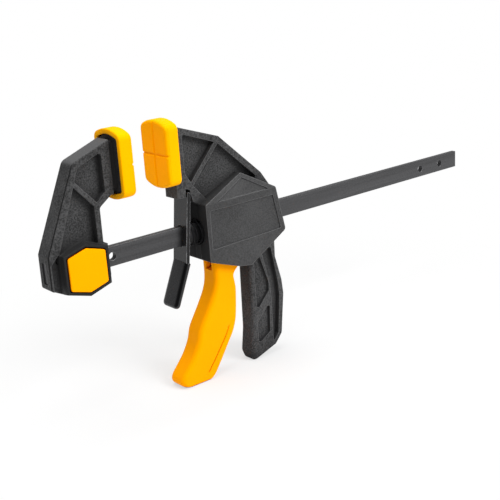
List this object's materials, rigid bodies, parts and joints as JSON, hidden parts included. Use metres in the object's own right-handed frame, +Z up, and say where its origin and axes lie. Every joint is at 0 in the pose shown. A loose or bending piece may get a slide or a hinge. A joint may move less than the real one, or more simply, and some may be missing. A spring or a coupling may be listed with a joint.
{
  "type": "quick release bar clamp",
  "caption": "One-handed bar clamp: flat steel bar, ribbed fixed jaw locked by a push button, sliding jaw with pistol trigger, handle and brake release lever.",
  "frame": {"origin": "on the surface the clamp stands on, in the middle of its length and width", "axes": "+X along the bar from the fixed jaw to the bar's free end, +Z up from the handle to the jaws, the lock button faces -Y"},
  "size_m": [0.586, 0.044, 0.2805],
  "materials": {
    "bar_steel": "dark coated flat steel, satin, lighter worn edges",
    "jaw_plastic": "black moulded plastic with a fine leather grain",
    "pad_rubber": "yellow soft plastic, matt",
    "button_plastic": "yellow moulded plastic, satin",
    "trigger_plastic": "yellow moulded plastic, satin",
    "cover_plastic": "black moulded plastic with a fine leather grain",
    "lever_steel": "dark coated steel, satin",
    "grip_plastic": "black soft plastic, matt",
    "zinc_steel": "bright steel",
    "spring_steel": "blackened spring steel",
    "yoke_plastic": "black moulded plastic"
  },
  "bodies": {
    "fixed_jaw": {"bar": "bar_steel", "fixed_jaw_body": "jaw_plastic", "fixed_jaw_pad": "pad_rubber", "lock_cover": "cover_plastic", "lock_cover_screws": "zinc_steel", "lock_spring": "spring_steel"},
    "lock_button": {"lock_button": "button_plastic", "lock_yoke": "yoke_plastic", "lock_pin": "zinc_steel"},
    "moving_jaw": {"moving_jaw_body": "jaw_plastic", "moving_jaw_pad": "pad_rubber", "front_cover": "cover_plastic", "rear_cover": "cover_plastic", "cover_screws": "zinc_steel", "trigger_pivot_pin": "zinc_steel", "drive_spring": "spring_steel", "brake_spring": "spring_steel"},
    "trigger": {"trigger": "trigger_plastic"},
    "drive_plates": {"drive_plate_first": "zinc_steel", "drive_plate_second": "zinc_steel"},
    "release_lever": {"brake_plate": "lever_steel", "release_grip": "grip_plastic"}
  },
  "joints": [
    {"name": "jaw_slide", "type": "slide", "parent": "fixed_jaw", "child": "moving_jaw", "axis": [1, 0, 0], "range_m": [-0.0367, 0.235]},
    {"name": "trigger_squeeze", "type": "hinge", "parent": "moving_jaw", "child": "trigger", "pos_m": [-0.103, 0, 0.184], "axis": [0, -1, 0], "range_deg": [0, 6], "stiffness_Nm_per_rad": 1.2, "springref_deg": -6.88},
    {"name": "drive_plates_slide", "type": "slide", "parent": "moving_jaw", "child": "drive_plates", "axis": [1, 0, 0], "range_m": [0, 0.0036], "deforming": ["drive_spring"]},
    {"name": "release_lever_pull", "type": "hinge", "parent": "moving_jaw", "child": "release_lever", "pos_m": [-0.1343, 0, 0.203], "axis": [0, -1, 0], "range_deg": [0, 6.5], "stiffness_Nm_per_rad": 0.6, "springref_deg": -5.73, "deforming": ["brake_spring"]},
    {"name": "lock_button_press", "type": "slide", "parent": "fixed_jaw", "child": "lock_button", "axis": [0, 1, 0], "range_m": [0, 0.0046], "stiffness_N_per_m": 600, "springref_m": -0.004, "deforming": ["lock_spring"]}
  ],
  "couplings": [
    {"joint": "drive_plates_slide", "follows": "trigger_squeeze", "m_per_rad": 0.033}
  ]
}
